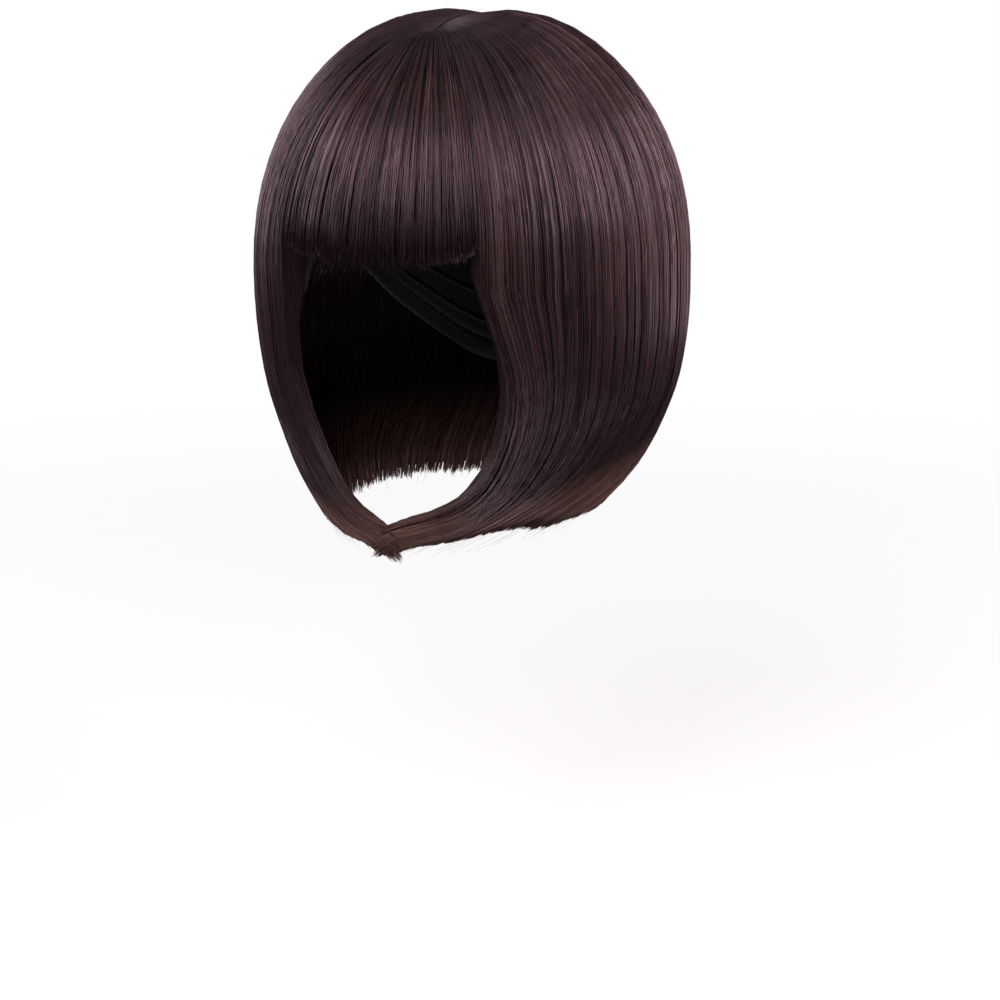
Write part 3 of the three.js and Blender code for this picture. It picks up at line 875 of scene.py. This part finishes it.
def fibre_material(name, shade, roughness):
    """shade is how dark the whole length is, from 0 to 1, and is painted shade; every root is dark,
    partly as painted shade.
    """
    material = new_material(name)
    places = add_node(material, "ShaderNodeUVMap", uv_map="fibre")
    parts = add_node(material, "ShaderNodeSeparateXYZ", links=[("Vector", places.outputs["UV"])])
    tint, along = parts.outputs["X"], parts.outputs["Y"]
    stretch = add_node(
        material, "ShaderNodeVectorMath", operation="MULTIPLY",
        values=[(1, STREAKS)], links=[(0, places.outputs["UV"])],
    )
    streaks = add_node(
        material, "ShaderNodeTexNoise",
        values=[("Scale", 1), ("Detail", 2)], links=[("Vector", stretch.outputs[0])],
    )
    streaked = add_node(
        material, "ShaderNodeMath", operation="MULTIPLY_ADD",
        values=[(1, STREAK_STRENGTH)], links=[(0, streaks.outputs["Fac"]), (2, tint)],
    )
    settled = add_node(
        material, "ShaderNodeMath", operation="SUBTRACT",
        values=[(1, STREAK_STRENGTH / 2)], links=[(0, streaked.outputs[0])],
    )
    ranges = {
        "deep": (along, 0.54, 0.8, 0, 0.95),  # painted shade: darker above the hem, where the hair lies in its own shadow
        "warm": (along, 0.86, 1, 0, 1),
        "takes_warmth": (settled.outputs[0], 0.2, 0.8, 0.35, 1),  # pale strands more than dark ones
        # dark roots, partly painted shade: darkest over the face
        "root": (along, 0.08, 0.28, 1, shade),
        "satin": (settled.outputs[0], 0.2, 0.8, roughness + 0.14, roughness - 0.06),
        "dull_root": (along, 0.12, 0.2, 0.26, 0),
    }
    shares = {}
    for part, (value, *limits) in ranges.items():
        node = add_node(
            material, "ShaderNodeMapRange",
            values=zip(RANGE_SOCKETS, limits), links=[("Value", value)],
        )
        shares[part] = node.outputs[0]
    warm_share = add_node(
        material, "ShaderNodeMath", operation="MULTIPLY",
        links=[(0, shares["warm"]), (1, shares["takes_warmth"])],
    )
    dye = add_node(
        material, "ShaderNodeValToRGB", links=[("Fac", settled.outputs[0])],
        stops=[(0.08, DARK_FIBRE), (0.9, LIGHT_FIBRE), (0.5, MID_FIBRE)],
    )
    colour = dye.outputs["Color"]
    over = ((shares["deep"], DARK_FIBRE), (warm_share.outputs[0], WARM_END), (shares["root"], DARK_FIBRE))
    for share, hex_colour in over:
        mixed = add_node(
            material, "ShaderNodeMix", data_type="RGBA",
            values=[(7, linear(hex_colour))], links=[(0, share), (6, colour)],
        )
        colour = mixed.outputs[2]
    finish = add_node(
        material, "ShaderNodeMath", operation="ADD",
        links=[(0, shares["satin"]), (1, shares["dull_root"])],
    )
    surface = add_node(
        material, "ShaderNodeBsdfPrincipled",
        values=[("IOR", 1.52), ("Specular IOR Level", 0.5), ("Specular Tint", linear(SHINE_TINT))],
        links=[("Base Color", colour), ("Roughness", finish.outputs[0])],
    )
    add_node(material, "ShaderNodeOutputMaterial", links=[("Surface", surface.outputs[0])])
    print(name, "has", len(material.node_tree.nodes), "nodes")
    return material


strand_fibre = fibre_material("modacrylic_fibre", 0.0, 0.24)
# painted shade: the under-layer is darkened along its whole length, so that the gaps between strands look
# shaded
under_fibre = fibre_material("modacrylic_fibre_under", 0.5, 0.6)

# %% [markdown]
# ## Dress the seven masses
# Each mass is the under-layer and its layers of strands, joined into one piece that stands for the
# solid of the same name.


# %% Build the hair
def dress(name):
    mass = prepare(name, MASSES[name])
    layers = [outer_layer(mass), inner_layer(mass), core_layer(mass)]
    if mass["at_face"]:
        layers.append(edge_layer(mass))
    strands = mesh_from(name + "_strands", layers)
    strands.data.materials.append(strand_fibre)
    under = under_layer(mass)
    under.data.materials.append(under_fibre)
    with bpy.context.temp_override(active_object=strands, object=strands,
                                   selected_editable_objects=[strands, under]):
        bpy.ops.object.join()
    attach(strands, "root")
    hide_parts(name)
    print(strands.name, len(strands.data.polygons), "faces")
    return strands


hair = [dress(name) for name in MASSES]
print("hair:", sum(len(piece.data.polygons) for piece in hair), "faces in all")

# %% [markdown]
# ## The cap, its band and the net in the parting
# Inside the hair sits a cap, knitted from fine stretch yarn, with an elastic band sewn along its
# rim. Hair comes on narrow sewn strips, the wefts, which run round the cap one above another, and
# their seams show as ridges inside it. In the parting, where one would look between the hair, a
# strip of net in the colour of a scalp lies on the cap. Each is a bent grid like the under-layer,
# with a map in metres, across and down, for the pattern of its cloth.

# %% The cap's own form
CAP_WALL = 1.5 * MM
CAP_CLOTH_LENGTH = 200 * MM  # about the way from the crown to the rim, for the maps
CAP_RIM = {
    "angle": (0, 38, 66, 80, 97, 122, 150, 180),
    "depth": (0.29, 0.38, 0.69, 0.62, 0.6, 0.8, 0.96, 1.0),
}
CAP_ROUND = 2 * math.pi * 86 * MM  # way round the cap, for its maps


def rim_level(angle):
    return -CAP_DEPTH * curve_through(CAP_RIM["angle"], CAP_RIM["depth"], np.degrees(np.abs(angle)))


def way_to(level, off):
    """How far down a meridian of the head a level is: 0 at the top, 1 at the widest level."""
    up = np.clip((level - CAP_WIDEST) / (off - CAP_WIDEST), 0, 1)
    tilt = np.arcsin(up ** (HEAD_ROUNDNESS / 2))
    return 1 - tilt / (math.pi / 2) + np.maximum(0, CAP_WIDEST - level) / HEAD_DOME


def on_head(angle, share, off, start, end):
    """Points on the head, pushed out by off, at a share of the way between two levels."""
    way = mix(way_to(start, off), way_to(end, off), share)
    tilt = np.maximum(0, 1 - way) * math.pi / 2
    on_dome_level = mix(CAP_WIDEST, off, np.sin(tilt) ** (2 / HEAD_ROUNDNESS))
    level = np.where(way < 1, on_dome_level, CAP_WIDEST - (way - 1) * HEAD_DOME)
    return point_at(head_reach(level, off), angle, level)


def angle_round(across):
    """The grid's seam runs down the back of the head."""
    return (across - 0.5) * 2 * math.pi


# %% The knitted cap
def bend_cap(across, down):
    angle = angle_round(across)
    return (on_head(angle, down, CAP_WALL, CAP_WALL, rim_level(angle)),
            on_head(angle, down, 0, 0, rim_level(angle)))


def cloth_map(length):
    """Map in metres, for a grid that is one turn of the head wide and this long."""
    return lambda across, down, is_inside: {"cloth": (across * CAP_ROUND, down * length)}


cap = closed_shell("cap_net", (120, 44), bend_cap, cloth_map(CAP_CLOTH_LENGTH), has_doubles=True)
print("cap:", len(cap.data.polygons), "faces")

# %% The wefts' seams inside the cap
WEFTS = 11
FIRST_WEFT = 0.16
LAST_WEFT = 0.95
WEFT_WIDTH = 2.4 * MM
WEFT_STITCH = 3 * MM
WEFT_SWELL = 0.22
WEFT_RISE = 0.25 * MM
WEFT_POINTS = 241


def weft_seams():
    """Low ridges that run round the cap, stitch by stitch, one above another."""
    across = np.linspace(0, 1, WEFT_POINTS)[None, :]
    down = np.linspace(FIRST_WEFT, LAST_WEFT, WEFTS)[:, None] + 0 * across
    angle = angle_round(across + 0 * down)
    inside = on_head(angle, down, -WEFT_RISE, 0, rim_level(angle))
    outside = on_head(angle, down, CAP_WALL, CAP_WALL, rim_level(angle))
    stitch = 1 + WEFT_SWELL * np.sin(2 * math.pi * across * CAP_ROUND / WEFT_STITCH)
    seams = {
        "path": inside,
        "outward": unit(outside - inside),
        "tint": across * CAP_ROUND + 0 * down,
        "along": down * CAP_CLOTH_LENGTH,
    }
    return tube_arrays(seams, np.full(WEFTS, WEFT_WIDTH), stitch[0])


corners, triangles, places = weft_seams()
wefts = mesh_of("cap_wefts", corners, triangles, {"cloth": places})
print("wefts:", WEFTS, "seams,", len(triangles), "faces")

# %% The elastic band
BAND_WALL = 2 * MM
BAND_HEIGHT = 9 * MM
BAND_GAP = 0.5 * MM
BAND_SWELL = 0.35 * MM


def bend_band(across, down):
    angle = angle_round(across)
    top = rim_level(angle) - BAND_GAP
    swell = BAND_SWELL * (1 - (2 * down - 1) ** 4)
    outside = on_head(angle, down, CAP_WALL, top, top - BAND_HEIGHT)
    inside = on_head(angle, down, CAP_WALL - BAND_WALL, top, top - BAND_HEIGHT)
    through = unit(outside - inside)
    return outside + through * swell[:, None], inside - through * swell[:, None]


band = closed_shell("cap_band_elastic", (160, 8), bend_band, cloth_map(BAND_HEIGHT), has_doubles=True)
print("band:", len(band.data.polygons), "faces")

# %% The net in the parting
STRIP_WALL = 2.6 * MM
STRIP_GAP = 0.3 * MM
STRIP_CROWN = 0.5 * MM
STRIP_SEAT = CAP_WALL + STRIP_GAP


def over_head(x, y, off):
    """Level of the cap's surface, pushed out by off, over a spot of the plan."""
    reach = np.where(y < 0, HEAD[1], HEAD[2]) + off
    return mix(CAP_WIDEST, off, dome_share(np.hypot(x / (HEAD[0] + off), y / reach), HEAD_ROUNDNESS))


def bend_strip(across, down):
    on_seat = (HEAD + STRIP_SEAT) / HAIR
    front = (PARTING_BEHIND - PARTING_HALF_LENGTH) * on_seat[1] + STRIP_GAP
    back = (PARTING_BEHIND + PARTING_HALF_LENGTH) * on_seat[2] - STRIP_GAP
    half_width = PARTING_HALF_WIDTH * on_seat[0] - STRIP_GAP
    x = (2 * across - 1) * half_width * np.sin(math.pi * down)
    y = mix(front, back, (1 + np.cos(math.pi * down)) / 2)
    crown = STRIP_WALL - STRIP_CROWN * (2 * across - 1) ** 2
    top = np.stack([x, y, over_head(x, y, STRIP_SEAT + crown)], -1)
    return top, np.stack([x, y, over_head(x, y, STRIP_SEAT)], -1)


def strip_map(across, down, is_inside):
    return {"cloth": (2 * across * PARTING_HALF_WIDTH, 2 * down * PARTING_HALF_LENGTH)}


strip = closed_shell("parting_net", (8, 60), bend_strip, strip_map, has_doubles=True)
print("net in the parting:", len(strip.data.polygons), "faces")

# %% [markdown]
# ### Knitted nylon, woven elastic and net
# The cap is warp-knitted nylon with elastane: an open net of fine loops. The band is woven rubber
# elastic, with ribs across it and a zigzag seam along its upper edge. The net of the parting is a
# fine hexagonal net of silk-like monofilament. The real threads are thinner than a tenth of a
# millimetre, so each net is drawn several times coarser than it is, to show at all.

# %% Net and rib patterns
CAP_CELL = 2.4 * MM
STRIP_CELL = 0.9 * MM
RIB = 1.4 * MM
ZIGZAG = 5 * MM


def slanted_threads(material, cell):
    """1 on the threads of a diamond net of this cell size, falling to 0 in its holes."""
    place = add_node(material, "ShaderNodeUVMap", uv_map="cloth")
    parts = add_node(material, "ShaderNodeSeparateXYZ", links=[("Vector", place.outputs["UV"])])
    waves = []
    for operation in ("ADD", "SUBTRACT"):
        slant = add_node(material, "ShaderNodeMath", operation=operation,
                         links=[(0, parts.outputs["X"]), (1, parts.outputs["Y"])])
        turn = add_node(material, "ShaderNodeMath", operation="MULTIPLY", values=[(1, math.pi / cell)],
                        links=[(0, slant.outputs[0])])
        wave = add_node(material, "ShaderNodeMath", operation="SINE", links=[(0, turn.outputs[0])])
        size = add_node(material, "ShaderNodeMath", operation="ABSOLUTE", links=[(0, wave.outputs[0])])
        waves.append(size)
    nearest = add_node(material, "ShaderNodeMath", operation="MINIMUM",
                       links=[(0, waves[0].outputs[0]), (1, waves[1].outputs[0])])
    thread = add_node(material, "ShaderNodeMapRange", interpolation_type="SMOOTHSTEP",
                      values=[("From Min", 0.1), ("From Max", 0.55), ("To Min", 1), ("To Max", 0)],
                      links=[("Value", nearest.outputs[0])])
    return parts, thread


def cloth_surface(material, pattern, hole, thread, height, roughness, sheen):
    """Colour and bump from a pattern that is 1 on the threads."""
    dye = add_node(material, "ShaderNodeMix", data_type="RGBA",
                   values=[(6, linear(hole)), (7, linear(thread))], links=[(0, pattern)])
    bump = add_node(material, "ShaderNodeBump", values=[("Strength", 0.7), ("Distance", height)],
                    links=[("Height", pattern)])
    surface = add_node(material, "ShaderNodeBsdfPrincipled",
                       values=[("Roughness", roughness), ("IOR", 1.5), ("Sheen Weight", sheen),
                               ("Sheen Roughness", 0.4)],
                       links=[("Base Color", dye.outputs[2]), ("Normal", bump.outputs[0])])
    add_node(material, "ShaderNodeOutputMaterial", links=[("Surface", surface.outputs[0])])


# %% Knitted nylon
knitted_nylon = new_material("knitted_nylon_net")
_, cap_threads = slanted_threads(knitted_nylon, CAP_CELL)
cloth_surface(knitted_nylon, cap_threads.outputs[0], "#0d0909", "#33282a", 0.4 * MM, 0.7, 0.25)

# %% Woven elastic
woven_elastic = new_material("woven_rubber_elastic")
band_place = add_node(woven_elastic, "ShaderNodeUVMap", uv_map="cloth")
band_parts = add_node(woven_elastic, "ShaderNodeSeparateXYZ",
                      links=[("Vector", band_place.outputs["UV"])])
round_band, down_band = band_parts.outputs["X"], band_parts.outputs["Y"]
rib_turn = add_node(woven_elastic, "ShaderNodeMath", operation="MULTIPLY",
                    values=[(1, 2 * math.pi / RIB)], links=[(0, round_band)])
ribs = add_node(woven_elastic, "ShaderNodeMath", operation="SINE", links=[(0, rib_turn.outputs[0])])
zigzag_line = add_node(woven_elastic, "ShaderNodeMath", operation="PINGPONG",
                       values=[(1, ZIGZAG / 2)], links=[(0, round_band)])
from_line = add_node(woven_elastic, "ShaderNodeMath", operation="SUBTRACT",
                     links=[(0, zigzag_line.outputs[0]), (1, down_band)])
beside_line = add_node(woven_elastic, "ShaderNodeMath", operation="ABSOLUTE",
                       links=[(0, from_line.outputs[0])])
stitch = add_node(woven_elastic, "ShaderNodeMapRange", interpolation_type="SMOOTHSTEP",
                  values=zip(RANGE_SOCKETS, (0.2 * MM, 0.6 * MM, 1, 0)),
                  links=[("Value", beside_line.outputs[0])])
rib_height = add_node(woven_elastic, "ShaderNodeMapRange",
                      values=zip(RANGE_SOCKETS, (-1, 1, 0.1, 0.55)), links=[("Value", ribs.outputs[0])])
raised = add_node(woven_elastic, "ShaderNodeMath", operation="MAXIMUM",
                  links=[(0, rib_height.outputs[0]), (1, stitch.outputs[0])])
cloth_surface(woven_elastic, raised.outputs[0], "#0b0808", "#3b2f31", 0.3 * MM, 0.75, 0.3)

# %% Net in the colour of a scalp, darkened in part as painted shade
scalp_net = new_material("monofilament_scalp_net")
_, strip_threads = slanted_threads(scalp_net, STRIP_CELL)
# painted shade: the net's scalp colour is given darker than it is, for the shade it lies in between the
# hair
cloth_surface(scalp_net, strip_threads.outputs[0], "#57433f", "#a08a85", 0.15 * MM, 0.6, 0.1)

# %% Dress the cap, the band and the parting
FINISHES = ((cap, knitted_nylon), (wefts, knitted_nylon), (band, woven_elastic), (strip, scalp_net))
for piece, finish in FINISHES:
    piece.data.materials.append(finish)
with bpy.context.temp_override(active_object=cap, object=cap,
                               selected_editable_objects=[cap, wefts]):
    bpy.ops.object.join()
for piece, node, slot in (
    (cap, "cap", "cap_net"),
    (band, "cap_band", "band_elastic"),
    (strip, "parting_strip", "scalp_net"),
):
    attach(piece, "root")
    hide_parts(node)

# %% [markdown]
# ## Floor, light and camera
# The floor is a pale disc that fades into the white background. Soft boxes stand above and in
# front, where they lay a broad sheen on the hair where it turns downwards, and behind, where they
# draw a thin light line round it.

# %% Floor
FLOOR_LEVEL = -0.42
FLOOR_RADIUS = 1.6

floor_mesh = bmesh.new()
bmesh.ops.create_circle(floor_mesh, cap_ends=True, segments=96, radius=FLOOR_RADIUS)
bmesh.ops.translate(floor_mesh, verts=floor_mesh.verts, vec=Vector((0, 0, FLOOR_LEVEL)))
floor_data = bpy.data.meshes.new("floor")
floor_mesh.to_mesh(floor_data)
floor_mesh.free()
floor = bpy.data.objects.new("floor", floor_data)
bpy.context.scene.collection.objects.link(floor)

floor_paint = new_material("matt_white_card")
spot = add_node(floor_paint, "ShaderNodeTexCoord")
flat_spot = add_node(floor_paint, "ShaderNodeVectorMath", operation="MULTIPLY",
                     values=[(1, (1, 1, 0))], links=[(0, spot.outputs["Object"])])
far = add_node(floor_paint, "ShaderNodeVectorMath", operation="LENGTH",
               links=[(0, flat_spot.outputs[0])])
fade = add_node(floor_paint, "ShaderNodeMapRange", interpolation_type="SMOOTHSTEP",
                values=[("From Min", 0.1), ("From Max", 1.4), ("To Min", 0.6), ("To Max", 0)],
                links=[("Value", far.outputs["Value"])])
card = add_node(floor_paint, "ShaderNodeBsdfPrincipled", links=[("Alpha", fade.outputs[0])],
                values=[("Base Color", linear("#fbfafa")), ("Roughness", 0.9),
                        ("Specular IOR Level", 0.1)])
add_node(floor_paint, "ShaderNodeOutputMaterial", links=[("Surface", card.outputs[0])])
floor_data.materials.append(floor_paint)
floor.visible_diffuse = False  # it shows, but throws no light up into the dark underside
floor.visible_glossy = False

# %% World: white to the eye, dimmer as a light
scene = bpy.context.scene
world = bpy.data.worlds.new("studio")
scene.world = world
world.use_nodes = True
world.node_tree.nodes.clear()
rays = add_node(world, "ShaderNodeLightPath")
backdrop = add_node(world, "ShaderNodeBackground", values=[("Color", (1, 1, 1, 1)), ("Strength", 1)])
ambient = add_node(world, "ShaderNodeBackground",
                   values=[("Color", (1, 0.98, 0.97, 1)), ("Strength", 0.12)])
chosen = add_node(world, "ShaderNodeMixShader",
                  links=[(0, rays.outputs["Is Camera Ray"]),
                         (1, ambient.outputs[0]), (2, backdrop.outputs[0])])
add_node(world, "ShaderNodeOutputWorld", links=[("Surface", chosen.outputs[0])])

# %% Soft boxes
AIM = Vector((0, 0, -0.11))
WHITE = (1, 1, 1)
ROSY = (1, 0.84, 0.87)
BOX_COLUMNS = ("azimuth", "elevation", "distance", "size", "power", "colour")
SOFT_BOXES = {
    "key": (5, 37, 1.7, 0.9, 18, WHITE),
    "side": (94, 24, 1.8, 1.0, 24, WHITE),
    "back_side": (134, 8, 1.8, 1.5, 24, ROSY),
    "far_side": (-96, 16, 1.8, 1.2, 10, ROSY),
    "far_front": (-58, 24, 1.8, 1.1, 16, WHITE),
    "fill": (60, -45, 1.8, 0.8, 11, WHITE),
}


def direction(azimuth, elevation):
    """From the aim towards a place at that azimuth, where 0 is the front and 90 is +X."""
    turn, rise = math.radians(azimuth), math.radians(elevation)
    return Vector((math.sin(turn) * math.cos(rise), -math.cos(turn) * math.cos(rise), math.sin(rise)))


for name, row in SOFT_BOXES.items():
    box = dict(zip(BOX_COLUMNS, row))
    lamp = bpy.data.lights.new(name, "AREA")
    lamp.shape = "SQUARE"
    lamp.size = box["size"]
    lamp.energy = box["power"]
    lamp.color = box["colour"]
    light = bpy.data.objects.new(name, lamp)
    scene.collection.objects.link(light)
    away = direction(box["azimuth"], box["elevation"])
    light.location = AIM + away * box["distance"]
    light.rotation_euler = away.to_track_quat("Z", "Y").to_euler()
print("soft boxes:", ", ".join(SOFT_BOXES))

# %% Camera at the photograph's angle
VIEW_AZIMUTH = 27
VIEW_ELEVATION = 8
VIEW_DISTANCE = 1.35
AXIS_AZIMUTH = 26.46
AXIS_PITCH = 12.73

camera_data = bpy.data.cameras.new("camera")
camera_data.lens = 103.5
camera_data.sensor_width = 36
camera = bpy.data.objects.new("camera", camera_data)
scene.collection.objects.link(camera)
camera.location = AIM + direction(VIEW_AZIMUTH, VIEW_ELEVATION) * VIEW_DISTANCE
camera.rotation_euler = (math.radians(90 - AXIS_PITCH), 0, math.radians(AXIS_AZIMUTH))
scene.camera = camera
scene.view_settings.view_transform = "Standard"
